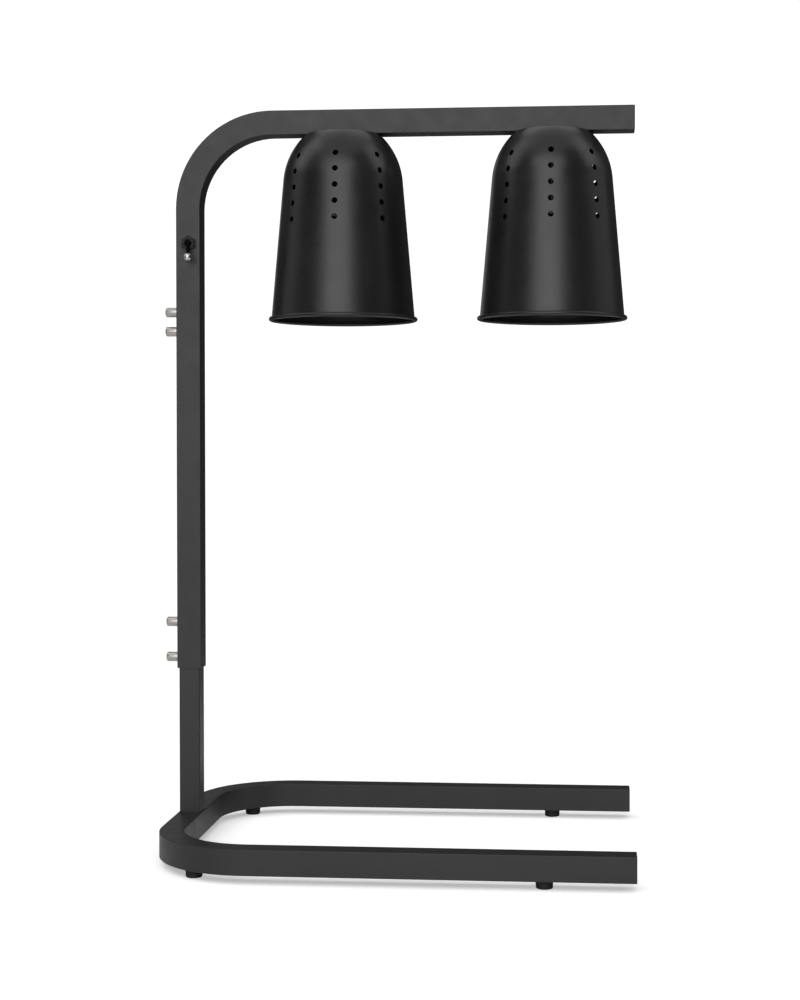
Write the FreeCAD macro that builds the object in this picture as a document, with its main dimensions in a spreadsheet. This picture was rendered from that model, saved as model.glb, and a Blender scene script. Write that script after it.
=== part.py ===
import FreeCAD, Part
import math
import os
import re
import Sketcher

# Countertop heat lamp warmer: a U-shaped base of square tube, a telescoping mast with an arm bent
# from one tube, two perforated lamp shades hung under the arm, a toggle switch and clamp screws.
# Frame: +Z up, floor at Z = 0, the arm runs along +X, the origin is at the middle of the footprint.
# Millimetres throughout.

SIZES = {
    # square tube of the frame
    "tube": 25.4, "tube_wall": 1.5, "tube_round": 0.6, "bore_round": 0.3, "bend_radius": 88.9,
    "mast_x": -220.5, "frame_end_x": 246.8,
    # moulded plugs that close the tubes
    "plug_flange": 1.2, "plug_slack": 0.1, "plug_sheet": 2.0, "plug_length": 14.0,
    # base
    "foot_height": 8.4, "base_arm_y": 172.8,
    "foot_front_x": 158.9, "foot_bend_x": -184.1, "foot_bend_y": 155.6,
    "foot_top_radius": 8.7, "foot_bottom_radius": 8.1, "foot_round": 1.4,
    "foot_recess_radius": 4.6, "foot_recess": 3.8, "foot_hole_radius": 2.3,
    "foot_screw_radius": 2.1, "foot_screw_length": 15.0,
    "foot_screw_head_radius": 4.0, "foot_screw_head": 2.4,
    "cross_slot_width": 1.0, "cross_slot_length": 4.4, "cross_slot_depth": 1.2,
    # mast
    "inner_tube": 22.0, "inner_round": 1.3, "inner_length": 430.0,
    "inner_plug_flange": 2.0, "inner_plug_length": 12.0,
    "mast_bottom": 187.2, "arm_axis_z": 760.2,
    "mast_bolt_radius": 4.0, "mast_bolt_head_flats": 13.0, "mast_bolt_head": 5.3, "mast_bolt_length": 20.0,
    "bolt_washer_radius": 8.0, "bolt_washer": 1.6, "access_radius": 9.5, "fit_gap": 0.05,
    "mast_block": 22.0,
    # clamp screws on the back of the mast
    "boss_radius": 5.1, "boss_length": 13.6, "boss_round": 0.9, "clamp_radius": 3.0,
    "pad_radius": 2.6, "pad_length": 2.0, "clamp_length": 12.0, "hex_key": 3.0, "hex_key_depth": 3.5,
    "clamp_a": 198.0, "clamp_b": 235.4, "clamp_c": 543.2, "clamp_d": 563.5,
    # lamps: shade, lampholder, bulb
    "lamp_a_x": -57.5, "lamp_b_x": 161.6,
    "shade_sheet": 1.0, "shade_height": 192.5, "shade_taper": 0.0872, "rim_cone_radius": 75.3,
    "rim_wire_radius": 2.2, "rim_ring_radius": 76.0, "dome_radius": 73.2, "dome_depth": 47.4,
    "shade_top_radius": 39.45, "shade_top_round": 1.5,
    "vent_radius": 3.0, "vent_first": 26.6, "vent_pitch": 16.5,
    "nipple_radius": 5.0, "nipple_bore": 3.5, "nipple_length": 14.0, "wire_hole_radius": 2.3,
    "shade_washer_radius": 10.0, "shade_washer": 1.5,
    "holder_radius": 19.0, "holder_neck_radius": 12.0, "holder_top": 2.5, "holder_shoulder": 14.0,
    "holder_bottom": 75.0, "holder_bore": 15.0, "holder_floor": 56.0, "collar_bottom": 86.5,
    "cavity_radius": 7.0, "cavity_top": 18.0, "cavity_bottom": 52.0,
    "shell_radius": 14.3, "shell_sheet": 0.7, "cap_radius": 13.1, "cap_length": 24.0,
    "contact_radius": 4.0, "contact": 1.5, "post_radius": 2.0, "post_length": 6.0,
    "bulb_neck_radius": 14.5, "bulb_radius": 47.5, "bulb_bottom": 185.0, "bulb_glass": 1.2,
    "neck_top_length": 8.0, "neck_length": 20.0, "bulb_widest": 38.0, "bulb_edge": 18.0,
    "bulb_side_round": 96.0, "bulb_edge_round": 24.0, "bulb_face_round": 100.0,
    # toggle switch on the front of the mast
    "switch_z": 634.8, "switch_shift": 1.0, "switch_turn": -6.5, "switch_width": 13.0, "switch_height": 22.4,
    "switch_depth": 14.5, "bushing_radius": 5.95, "bushing_front": 4.6,
    "slot_width": 7.2, "slot_height": 10.6,
    "dress_washer_radius": 8.2, "dress_washer": 0.6, "dress_nut_flats": 14.3, "dress_nut": 3.0,
    "pivot_out": 4.2, "pivot_ball": 2.9, "pivot_pin_radius": 0.8, "pivot_pin_half": 4.9,
    "lever_reach": 17.8, "lever_root": 1.85, "lever_end": 1.9, "lever_ball": 4.25, "lever_angle": 60.0,
    # wiring
    "wire_radius": 1.0, "wire_side": 1.2, "wire_low_z": 759.8, "wire_high_z": 765.8,
    "wire_turn": 6.0, "wire_drop": 44.0,
    "terminal_z": 650.0, "terminal_length": 12.0, "terminal_width": 3.0,
    "splice_z": 664.0, "splice_length": 11.0, "splice_width": 4.8, "splice_height": 12.0,
    "splice_round": 1.5,
    "inlet_z": 656.0, "inlet_radius": 4.75, "inlet_bore": 3.2,
    "inlet_flange_radius": 6.8, "inlet_flange": 1.8,
}

doc = FreeCAD.newDocument("heat_lamp_warmer")
sheet = doc.addObject("Spreadsheet::Sheet", "Sizes")
for row, (name, size) in enumerate(SIZES.items(), start=1):
    sheet.set("A%d" % row, name)
    sheet.set("B%d" % row, str(size))
    sheet.setAlias("B%d" % row, name)
doc.recompute()

NODES = {}
ALONG_X = FreeCAD.Rotation(FreeCAD.Vector(0, 1, 0), 90)
TOWARDS_BACK = FreeCAD.Rotation(FreeCAD.Vector(0, 1, 0), -90)
TOWARDS_REAR = FreeCAD.Rotation(FreeCAD.Vector(1, 0, 0), -90)
TOWARDS_FRONT = FreeCAD.Rotation(FreeCAD.Vector(1, 0, 0), 90)


# ---------------------------------------------------------------- formulas and drawing helpers

def formula(text):
    """Write the sheet's name in front of every alias in a formula."""
    def sheet_cell(word):
        return "Sizes." + word.group(0) if word.group(0) in SIZES else word.group(0)
    return re.sub(r"[a-z_]+", sheet_cell, text)


def number(text):
    return float(sheet.evalExpression(formula(text)))


def bind(thing, **formulas):
    for prop, text in formulas.items():
        thing.setExpression(prop, formula(text))


def place(thing, x="0", y="0", z="0", turn=None):
    """Stand a sub-part at a place given by formulas, after an optional turn."""
    thing.Placement = FreeCAD.Placement(FreeCAD.Vector(), turn or FreeCAD.Rotation())
    for axis, text in zip("xyz", (x, y, z)):
        thing.setExpression("Placement.Base." + axis, formula(text))
    return thing


def node(thing, label):
    thing.Label = label
    NODES[label] = thing
    return thing


def new_body(name):
    return doc.addObject("PartDesign::Body", name)


def origin_feature(body, role):
    return [item for item in body.Origin.OriginFeatures if item.Role == role][0]


def sketch_on(body, plane, level="0"):
    """A sketch on one of the body's own planes, raised by a formula along the plane's normal."""
    sketch = body.newObject("Sketcher::SketchObject", body.Name + "_sketch")
    sketch.AttachmentSupport = [(origin_feature(body, plane), "")]
    sketch.MapMode = "FlatFace"
    sketch.setExpression("AttachmentOffset.Base.z", formula(level))
    return sketch


def drive(sketch, kind, text, *where):
    """Add one driving dimension and tie it to its formula."""
    index = sketch.addConstraint(Sketcher.Constraint(kind, *where, number(text)))
    sketch.setExpression("Constraints[%d]" % index, formula(text))


def arc_between(start, end, radius, side):
    """The short arc from start to end with its centre on the left (1) or the right (-1)."""
    chord = end - start
    left = FreeCAD.Vector(-chord.y, chord.x, 0).normalize()
    reach = math.sqrt(max(radius ** 2 - (chord.Length / 2) ** 2, 0))
    centre = (start + end) * 0.5 + left * (side * reach)
    first, last = (start, end) if side > 0 else (end, start)
    angles = [math.atan2(point.y - centre.y, point.x - centre.x) for point in (first, last)]
    circle = Part.Circle(centre, FreeCAD.Vector(0, 0, 1), radius)
    return Part.ArcOfCircle(circle, angles[0], angles[1])


def draw(sketch, points, arcs=None, closed=True):
    """An outline through points given as pairs of formulas. arcs maps a side's number to its
    radius formula and the side its centre lies on."""
    arcs = arcs or {}
    spots = [FreeCAD.Vector(number(x), number(y), 0) for x, y in points]
    sides = []
    for i in range(len(points) if closed else len(points) - 1):
        start, end = spots[i], spots[(i + 1) % len(spots)]
        if i in arcs:
            radius, side = arcs[i]
            geometry = sketch.addGeometry(arc_between(start, end, number(radius), side))
            drive(sketch, "Radius", radius, geometry)
            sides.append((geometry, 1, 2) if side > 0 else (geometry, 2, 1))
        else:
            sides.append((sketch.addGeometry(Part.LineSegment(start, end)), 1, 2))
    for i, (geometry, first, last) in enumerate(sides):
        drive(sketch, "DistanceX", points[i][0], -1, 1, geometry, first)
        drive(sketch, "DistanceY", points[i][1], -1, 1, geometry, first)
        if i + 1 < len(sides) or closed:
            following, next_first, _ = sides[(i + 1) % len(sides)]
            sketch.addConstraint(Sketcher.Constraint("Coincident", geometry, last, following, next_first))
        else:
            drive(sketch, "DistanceX", points[i + 1][0], -1, 1, geometry, last)
            drive(sketch, "DistanceY", points[i + 1][1], -1, 1, geometry, last)
    return sketch


def draw_circle(sketch, x, y, radius):
    centre = FreeCAD.Vector(number(x), number(y), 0)
    circle = sketch.addGeometry(Part.Circle(centre, FreeCAD.Vector(0, 0, 1), number(radius)))
    drive(sketch, "DistanceX", x, -1, 1, circle, 3)
    drive(sketch, "DistanceY", y, -1, 1, circle, 3)
    drive(sketch, "Radius", radius, circle)
    return sketch


def draw_square(sketch, side, corner, x="0", y="0"):
    """A square of the given side with rounded corners, about a centre."""
    far, near = "(%s) / 2" % side, "((%s) / 2 - (%s))" % (side, corner)
    corners = [(near, "-" + far), (far, "-" + near), (far, near), (near, far),
               ("-" + near, far), ("-" + far, near), ("-" + far, "-" + near), ("-" + near, "-" + far)]
    points = [("%s + %s" % (x, across), "%s + %s" % (y, along)) for across, along in corners]
    return draw(sketch, points, {i: (corner, 1) for i in (0, 2, 4, 6)})


def draw_hexagon(sketch, flats):
    """A hexagon whose corners lie on the sketch's vertical axis."""
    tip, half, low = "%s / sqrt(3)" % flats, "%s / 2" % flats, "%s / sqrt(12)" % flats
    return draw(sketch, [("0", tip), ("-" + half, low), ("-" + half, "-" + low), ("0", "-" + tip),
                         (half, "-" + low), (half, low)])


# ---------------------------------------------------------------- features

def pad(body, sketch, length):
    feature = body.newObject("PartDesign::Pad", body.Name + "_pad")
    feature.Profile = sketch
    bind(feature, Length=length)
    doc.recompute()
    return feature


def turned(body, points, arcs=None):
    """A solid of revolution about the body's Z axis, from its half outline in X and Z."""
    sketch = draw(sketch_on(body, "XZ_Plane"), points, arcs)
    feature = body.newObject("PartDesign::Revolution", body.Name + "_turning")
    feature.Profile = sketch
    feature.ReferenceAxis = (sketch, ["V_Axis"])
    feature.Angle = 360
    doc.recompute()
    return body


def cut(body, sketch, depth, through=False):
    """Cut the sketch against its normal, and make sure that it removed something."""
    before = body.Shape.Volume
    feature = body.newObject("PartDesign::Pocket", body.Name + "_pocket")
    feature.Profile = sketch
    if through:
        feature.Type = "ThroughAll"
        feature.Midplane = True
    else:
        bind(feature, Length=depth)
    doc.recompute()
    if body.Shape.Volume > before - 0.01:
        raise RuntimeError("nothing was cut from " + body.Name)
    return feature


def drill(body, plane, level, depth, holes):
    """Round holes (x, y, radius) cut from a level, against the plane's normal."""
    sketch = sketch_on(body, plane, level)
    for x, y, radius in holes:
        draw_circle(sketch, x, y, radius)
    return cut(body, sketch, depth)


def bevel(body, points):
    """Turn a small wedge away around the body's Z axis."""
    before = body.Shape.Volume
    sketch = draw(sketch_on(body, "XZ_Plane"), points)
    feature = body.newObject("PartDesign::Groove", body.Name + "_bevel")
    feature.Profile = sketch
    feature.ReferenceAxis = (sketch, ["V_Axis"])
    feature.Angle = 360
    doc.recompute()
    if body.Shape.Volume > before - 0.01:
        raise RuntimeError("nothing was turned away from " + body.Name)


def swept(body, spine, section):
    feature = body.newObject("PartDesign::AdditivePipe", body.Name + "_sweep")
    feature.Spine = (spine, ["Edge%d" % (i + 1) for i in range(len(spine.Shape.Edges))])
    feature.Profile = section
    feature.Transition = "Transformed"
    doc.recompute()
    return body


def box(name, length, width, height):
    solid = doc.addObject("Part::Box", name)
    bind(solid, Length=length, Width=width, Height=height)
    return solid


def cylinder(name, radius, height):
    solid = doc.addObject("Part::Cylinder", name)
    bind(solid, Radius=radius, Height=height)
    return solid


def group(pieces, label):
    """Identical pieces that share one node as separate solids."""
    together = doc.addObject("Part::Compound", label)
    together.Links = pieces
    return node(together, label)


# ---------------------------------------------------------------- base

BASE_AXIS = "(foot_height + tube / 2)"
BASE_TOP = "(foot_height + tube)"
FOOT_PLACES = [(x, sign + y) for x, y in (("foot_front_x", "base_arm_y"), ("foot_bend_x", "foot_bend_y"))
               for sign in ("", "-")]


def tube_section(sketch, x="0", y="0"):
    draw_square(sketch, "tube", "tube_round", x, y)
    return draw_square(sketch, "tube - 2 * tube_wall", "bore_round", x, y)


def make_base_frame():
    """One length of square tube, bent twice into a U that lies open towards +X."""
    body = new_body("BaseFrame")
    straight_end = "frame_end_x - plug_flange"
    bend_x, bend_y = "mast_x + bend_radius", "(base_arm_y - bend_radius)"
    spine = draw(sketch_on(body, "XY_Plane"),
                 [(straight_end, "-base_arm_y"), (bend_x, "-base_arm_y"), ("mast_x", "-" + bend_y),
                  ("mast_x", bend_y), (bend_x, "base_arm_y"), (straight_end, "base_arm_y")],
                 {1: ("bend_radius", -1), 3: ("bend_radius", -1)}, closed=False)
    section = tube_section(sketch_on(body, "YZ_Plane", straight_end), "-base_arm_y")
    doc.recompute()
    swept(body, spine, section)
    drill(body, "XY_Plane", "1 - tube / 2 + tube_wall", "tube_wall + 2",
          [(x, y, "foot_screw_radius + fit_gap") for x, y in FOOT_PLACES]
          + [("mast_x", "0", "access_radius")])
    drill(body, "XY_Plane", "tube / 2 + 1", "tube_wall + 2", [("mast_x", "0", "mast_bolt_radius + 0.2")])
    return node(place(body, z=BASE_AXIS), "base_frame")


def make_plug(name, side, corner, flange, outer_tube, length):
    """Moulded insert that closes a tube: a flat flange and a hollow spigot, pointing along -Z."""
    body = new_body(name)
    pad(body, draw_square(sketch_on(body, "XY_Plane"), side, corner), flange)
    fitted = outer_tube + " - 2 * tube_wall - plug_slack"
    spigot = draw_square(sketch_on(body, "XY_Plane", "-" + length), fitted, "2 * bore_round")
    draw_square(spigot, fitted + " - 2 * plug_sheet", "bore_round")
    pad(body, spigot, length)
    return body


def make_end_plug(name):
    return make_plug(name, "tube", "tube_round", "plug_flange", "tube", "plug_length")


def make_foot(name, x, y):
    """Rubber foot: a short cone, wide end up, rounded below, with a recess for its screw."""
    body = new_body(name)
    turned(body, [("foot_hole_radius", "foot_recess"), ("foot_recess_radius", "foot_recess"),
                  ("foot_recess_radius", "0"), ("foot_bottom_radius - foot_round", "0"),
                  ("foot_bottom_radius", "foot_round"), ("foot_top_radius", "foot_height"),
                  ("foot_hole_radius", "foot_height")],
           {3: ("foot_round", 1)})
    return place(body, x, y)


def make_foot_screw(name, x, y):
    """Pan-head tapping screw that holds one foot."""
    head_top = "(foot_recess - foot_screw_head)"
    body = new_body(name)
    turned(body, [("0", head_top), ("foot_screw_head_radius - 1", head_top),
                  ("foot_screw_head_radius", head_top + " + 1"), ("foot_screw_head_radius", "foot_recess"),
                  ("foot_screw_radius", "foot_recess"), ("foot_screw_radius", "foot_screw_length - 2"),
                  ("0", "foot_screw_length")])
    slots = sketch_on(body, "XY_Plane", head_top + " + cross_slot_depth")
    across, along = "cross_slot_width / 2", "cross_slot_length / 2"
    draw(slots, [("-" + across, "-" + along), (across, "-" + along), (across, along), ("-" + across, along)])
    feature = cut(body, slots, "2 * cross_slot_depth")
    pattern = body.newObject("PartDesign::PolarPattern", body.Name + "_pattern")
    pattern.Originals = [feature]
    pattern.Axis = (slots, ["N_Axis"])
    pattern.Angle = 90
    pattern.Occurrences = 2
    body.Tip = pattern
    return place(body, x, y)


def make_hex_screw(name, label, x, y, z):
    """Hexagon-head bolt, head down, shank along +Z from the underside of the washer."""
    body = new_body(name)
    pad(body, draw_hexagon(sketch_on(body, "XY_Plane", "-mast_bolt_head"), "mast_bolt_head_flats"),
        "mast_bolt_head")
    pad(body, draw_circle(sketch_on(body, "XY_Plane"), "0", "0", "mast_bolt_radius"), "mast_bolt_length")
    flats, wide = "mast_bolt_head_flats / 2", "mast_bolt_head_flats"
    bevel(body, [(flats, "-mast_bolt_head - 0.1"), (wide, "-mast_bolt_head - 0.1"),
                 (wide, "-mast_bolt_head + mast_bolt_head_flats / 4")])
    return node(place(body, x, y, z), label)


def make_base():
    make_base_frame()
    plugs = []
    for i, sign in enumerate(("-", "")):
        plug = make_end_plug("BasePlug%d" % i)
        plugs.append(place(plug, "frame_end_x - plug_flange", sign + "base_arm_y", BASE_AXIS, ALONG_X))
    group(plugs, "base_end_plugs")
    group([make_foot("Foot%d" % i, x, y) for i, (x, y) in enumerate(FOOT_PLACES)], "rubber_feet")
    group([make_foot_screw("FootScrew%d" % i, x, y) for i, (x, y) in enumerate(FOOT_PLACES)], "foot_screws")

    cover = new_body("AccessCover")
    turned(cover, [("0", "0"), ("access_radius + 1.5", "0"), ("access_radius + 1.5", "-1.2"), ("0", "-1.2")])
    skirt = draw_circle(sketch_on(cover, "XY_Plane"), "0", "0", "access_radius - 0.1")
    pad(cover, draw_circle(skirt, "0", "0", "access_radius - 2"), "5")
    node(place(cover, "mast_x", "0", "foot_height"), "base_access_cover")


# ---------------------------------------------------------------- mast

def make_mast():
    tube = new_body("MastInnerTube")
    section = draw_square(sketch_on(tube, "XY_Plane"), "inner_tube", "inner_round")
    draw_square(section, "inner_tube - 2 * tube_wall", "bore_round")
    pad(tube, section, "inner_length")
    node(place(tube, "mast_x", "0", BASE_TOP), "mast_inner_tube")

    block = new_body("MastFootBlock")
    section = draw_square(sketch_on(block, "XY_Plane"), "inner_tube - 2 * tube_wall - plug_slack",
                          "2 * bore_round")
    draw_circle(section, "0", "0", "mast_bolt_radius + fit_gap")
    pad(block, section, "mast_block")
    node(place(block, "mast_x", "0", BASE_TOP), "mast_foot_block")

    washer = new_body("MastBoltWasher")
    turned(washer, [("mast_bolt_radius + 0.2", "0"), ("bolt_washer_radius", "0"),
                    ("bolt_washer_radius", "bolt_washer"), ("mast_bolt_radius + 0.2", "bolt_washer")])
    node(place(washer, "mast_x", "0", BASE_TOP + " - tube_wall - bolt_washer"), "mast_bolt_washer")
    make_hex_screw("MastBolt", "mast_bolt", "mast_x", "0", BASE_TOP + " - tube_wall - bolt_washer")

    cap = make_plug("MastTopPlug", "inner_tube - 2 * plug_slack", "inner_round", "inner_plug_flange",
                    "inner_tube", "inner_plug_length")
    node(place(cap, "mast_x", "0", BASE_TOP + " + inner_length"), "mast_inner_tube_plug")


CLAMPS = ["clamp_a", "clamp_b", "clamp_c", "clamp_d"]
LAMPS = ["lamp_a_x", "lamp_b_x"]
ARM_UNDERSIDE = "(arm_axis_z - tube / 2)"


def make_upper_frame():
    """Mast sleeve, bend and arm in one length of square tube. Its own axes cross at the mast's
    axis and the arm's axis, so X runs out along the arm and Z up the mast."""
    body = new_body("UpperFrame")
    mast_end, arm_end = "mast_bottom - arm_axis_z", "frame_end_x - plug_flange - mast_x"
    spine = draw(sketch_on(body, "XZ_Plane"),
                 [("0", mast_end), ("0", "-bend_radius"), ("bend_radius", "0"), (arm_end, "0")],
                 {1: ("bend_radius", -1)}, closed=False)
    section = tube_section(sketch_on(body, "XY_Plane", mast_end))
    doc.recompute()
    swept(body, spine, section)
    drill(body, "YZ_Plane", "1 - tube / 2 + tube_wall", "tube_wall + 2",
          [("0", clamp + " - arm_axis_z", "clamp_radius + fit_gap") for clamp in CLAMPS])
    drill(body, "XZ_Plane", "tube / 2 + 1", "tube_wall + 2",
          [("switch_shift", "switch_z - arm_axis_z", "bushing_radius + 0.1")])
    drill(body, "XZ_Plane", "1 - tube / 2 + tube_wall", "tube_wall + 2",
          [("0", "inlet_z - arm_axis_z", "inlet_radius + fit_gap")])
    drill(body, "XY_Plane", "1 - tube / 2 + tube_wall", "tube_wall + 2",
          [(lamp + " - mast_x", "0", "wire_hole_radius") for lamp in LAMPS])
    node(place(body, "mast_x", "0", "arm_axis_z"), "upper_frame_tube")
    plug = make_end_plug("ArmPlug")
    node(place(plug, "frame_end_x - plug_flange", "0", "arm_axis_z", ALONG_X), "arm_end_plug")


def make_clamp_screws():
    """Bosses welded on the mast's back, each holding a socket set screw that pushes a loose pad."""
    bosses = []
    for i, clamp in enumerate(CLAMPS):
        boss = new_body("ClampBoss%d" % i)
        turned(boss, [("clamp_radius + fit_gap", "0"), ("boss_radius", "0"),
                      ("boss_radius", "boss_length - boss_round"),
                      ("boss_radius - boss_round", "boss_length"),
                      ("clamp_radius + fit_gap", "boss_length")],
               {2: ("boss_round", 1)})
        bosses.append(place(boss, "mast_x - tube / 2", "0", clamp, TOWARDS_BACK))

        screw = new_body("ClampScrew%d" % i)
        turned(screw, [("0", "0"), ("clamp_radius - 0.7", "0"), ("clamp_radius", "0.7"),
                       ("clamp_radius", "clamp_length - 0.5"), ("clamp_radius - 0.5", "clamp_length"),
                       ("0", "clamp_length")])
        socket = draw_hexagon(sketch_on(screw, "XY_Plane", "clamp_length"), "hex_key")
        cut(screw, socket, "hex_key_depth")
        screw_start = "mast_x - tube / 2 + tube_wall - pad_length"
        node(place(screw, screw_start, "0", clamp, TOWARDS_BACK), "clamp_screw_%d" % (i + 1))

        tip = new_body("ClampPad%d" % i)
        turned(tip, [("0", "0"), ("pad_radius - 0.3", "0"), ("pad_radius", "0.3"),
                     ("pad_radius", "pad_length"), ("0", "pad_length")])
        node(place(tip, "mast_x - tube / 2 + tube_wall", "0", clamp, TOWARDS_BACK), "clamp_pad_%d" % (i + 1))
    group(bosses, "clamp_bosses")


# ---------------------------------------------------------------- lamps

def make_shade(index, lamp):
    """Spun shade: flat top, dome, slightly tapered wall and a wired rim, with rows of round vents.
    Its own origin is on its axis at the flat top, so it hangs down along -Z."""
    body = new_body("Shade%d" % index)
    knee_radius = "(rim_cone_radius - shade_taper * (shade_height - dome_depth))"
    slant = "shade_sheet * 1.004"
    turned(body, [("nipple_radius + 0.2", "0"), ("shade_top_radius", "0"), (knee_radius, "-dome_depth"),
                  ("rim_cone_radius", "-shade_height"), ("rim_cone_radius - " + slant, "-shade_height"),
                  (knee_radius + " - " + slant, "-dome_depth"),
                  ("shade_top_radius - 1.3 * shade_sheet", "-shade_sheet"),
                  ("nipple_radius + 0.2", "-shade_sheet")],
           {1: ("dome_radius", -1), 5: ("dome_radius - shade_sheet", 1)})
    rim_sketch = draw_circle(sketch_on(body, "XZ_Plane"),
                             "rim_ring_radius", "-shade_height", "rim_wire_radius")
    rim = body.newObject("PartDesign::Revolution", body.Name + "_rim")
    rim.Profile = rim_sketch
    rim.ReferenceAxis = (rim_sketch, ["V_Axis"])
    rim.Angle = 360
    doc.recompute()

    vents = sketch_on(body, "XZ_Plane")
    for row_number in range(5):
        draw_circle(vents, "0", "-(vent_first + %d * vent_pitch)" % row_number, "vent_radius")
    column = cut(body, vents, "0", through=True)
    pattern = body.newObject("PartDesign::PolarPattern", body.Name + "_columns")
    pattern.Originals = [column]
    pattern.Axis = (origin_feature(body, "Z_Axis"), [""])
    pattern.Angle = 135
    pattern.Occurrences = 4
    body.Tip = pattern
    doc.recompute()
    node(place(body, lamp, "0", ARM_UNDERSIDE), "lamp_shade_%d" % index)


def make_lampholder(index, lamp):
    """Moulded lampholder under the shade's top, with a metal collar, screw shell and contact."""
    holder = new_body("Lampholder%d" % index)
    turned(holder, [("nipple_radius + fit_gap", "-holder_top"), ("holder_neck_radius", "-holder_top"),
                    ("holder_neck_radius", "-holder_top - 4"), ("holder_radius", "-holder_shoulder"),
                    ("holder_radius", "-holder_bottom"), ("holder_bore", "-holder_bottom"),
                    ("holder_bore", "-holder_floor"), ("post_radius + fit_gap", "-holder_floor"),
                    ("post_radius + fit_gap", "-cavity_bottom"), ("cavity_radius", "-cavity_bottom"),
                    ("cavity_radius", "-cavity_top"), ("nipple_radius + fit_gap", "-nipple_length")])
    node(place(holder, lamp, "0", ARM_UNDERSIDE), "lampholder_%d" % index)

    collar = new_body("Collar%d" % index)
    turned(collar, [("holder_bore", "-holder_bottom"), ("holder_radius", "-holder_bottom"),
                    ("holder_radius", "-collar_bottom + 0.8"), ("holder_radius - 0.8", "-collar_bottom"),
                    ("holder_bore + 0.5", "-collar_bottom"), ("holder_bore", "-collar_bottom + 0.5")])
    node(place(collar, lamp, "0", ARM_UNDERSIDE), "lampholder_collar_%d" % index)

    shell = new_body("Shell%d" % index)
    turned(shell, [("cavity_radius", "-holder_floor"), ("shell_radius", "-holder_floor"),
                   ("shell_radius", "-collar_bottom + 3"),
                   ("shell_radius - shell_sheet", "-collar_bottom + 3"),
                   ("shell_radius - shell_sheet", "-holder_floor - shell_sheet"),
                   ("cavity_radius", "-holder_floor - shell_sheet")])
    node(place(shell, lamp, "0", ARM_UNDERSIDE), "screw_shell_%d" % index)

    contact = new_body("Contact%d" % index)
    turned(contact, [("0", "-holder_floor"), ("contact_radius", "-holder_floor"),
                     ("contact_radius", "-holder_floor - contact"), ("0", "-holder_floor - contact")])
    post = draw_circle(sketch_on(contact, "XY_Plane", "-holder_floor"), "0", "0", "post_radius")
    pad(contact, post, "post_length")
    node(place(contact, lamp, "0", ARM_UNDERSIDE), "centre_contact_%d" % index)


def make_bulb(index, lamp):
    """Short reflector heat lamp with a screw cap; its glass stays inside the shade."""
    cap_top, cap_end = "(holder_floor + contact + 0.2)", "(holder_floor + contact + 0.2 + cap_length)"
    cap = new_body("BulbCap%d" % index)
    turned(cap, [("0", "-" + cap_top), ("3.5", "-" + cap_top), ("4.5", "-%s - 1.5" % cap_top),
                 ("cap_radius - 2", "-%s - 3" % cap_top), ("cap_radius", "-%s - 5" % cap_top),
                 ("cap_radius", "-" + cap_end), ("0", "-" + cap_end)])
    node(place(cap, lamp, "0", ARM_UNDERSIDE), "heat_lamp_cap_%d" % index)

    glass = new_body("BulbGlass%d" % index)
    outside = [("cap_radius", "0"), ("bulb_neck_radius", "-neck_top_length"),
               ("bulb_neck_radius + 1", "-neck_length")]
    inside = [("%s - bulb_glass" % x, y) for x, y in reversed(outside)]
    neck_out = [(x, "%s - %s" % (y, cap_end)) for x, y in outside]
    neck_in = [(x, "%s - %s" % (y, cap_end)) for x, y in inside]
    face_out = [("bulb_radius", "-bulb_bottom + bulb_widest"),
                ("bulb_radius - 2", "-bulb_bottom + bulb_edge")]
    face_in = [("%s - bulb_glass" % x, y) for x, y in reversed(face_out)]
    turned(glass, neck_out + face_out + [("0", "-bulb_bottom"), ("0", "-bulb_bottom + bulb_glass")]
           + face_in + neck_in,
           {2: ("bulb_side_round", -1), 3: ("bulb_edge_round", -1), 4: ("bulb_face_round", -1),
            6: ("bulb_face_round - bulb_glass", 1), 7: ("bulb_edge_round - bulb_glass", 1),
            8: ("bulb_side_round + bulb_glass", 1)})
    node(place(glass, lamp, "0", ARM_UNDERSIDE), "heat_lamp_bulb_%d" % index)


def make_lamps():
    """Both lamps. A nipple welded under the arm carries each shade, its washer and its lampholder."""
    washers = []
    for index, lamp in enumerate(LAMPS, start=1):
        make_shade(index, lamp)
        make_lampholder(index, lamp)
        make_bulb(index, lamp)

        nipple = new_body("Nipple%d" % index)
        turned(nipple, [("nipple_bore", "-nipple_length"), ("nipple_radius", "-nipple_length"),
                        ("nipple_radius", "0"), ("nipple_bore", "0")])
        node(place(nipple, lamp, "0", ARM_UNDERSIDE), "shade_nipple_%d" % index)

        washer = new_body("ShadeWasher%d" % index)
        turned(washer, [("nipple_radius + 0.2", "0"), ("shade_washer_radius", "0"),
                        ("shade_washer_radius", "-shade_washer"), ("nipple_radius + 0.2", "-shade_washer")])
        washers.append(place(washer, lamp, "0", ARM_UNDERSIDE + " - shade_sheet"))
    group(washers, "shade_washers")


# ---------------------------------------------------------------- toggle switch

SWITCH_X = "(mast_x + switch_shift)"
MAST_FRONT = "(-tube / 2)"
SWITCH_TURN = FreeCAD.Rotation(FreeCAD.Vector(0, 1, 0), number("switch_turn"))


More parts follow.
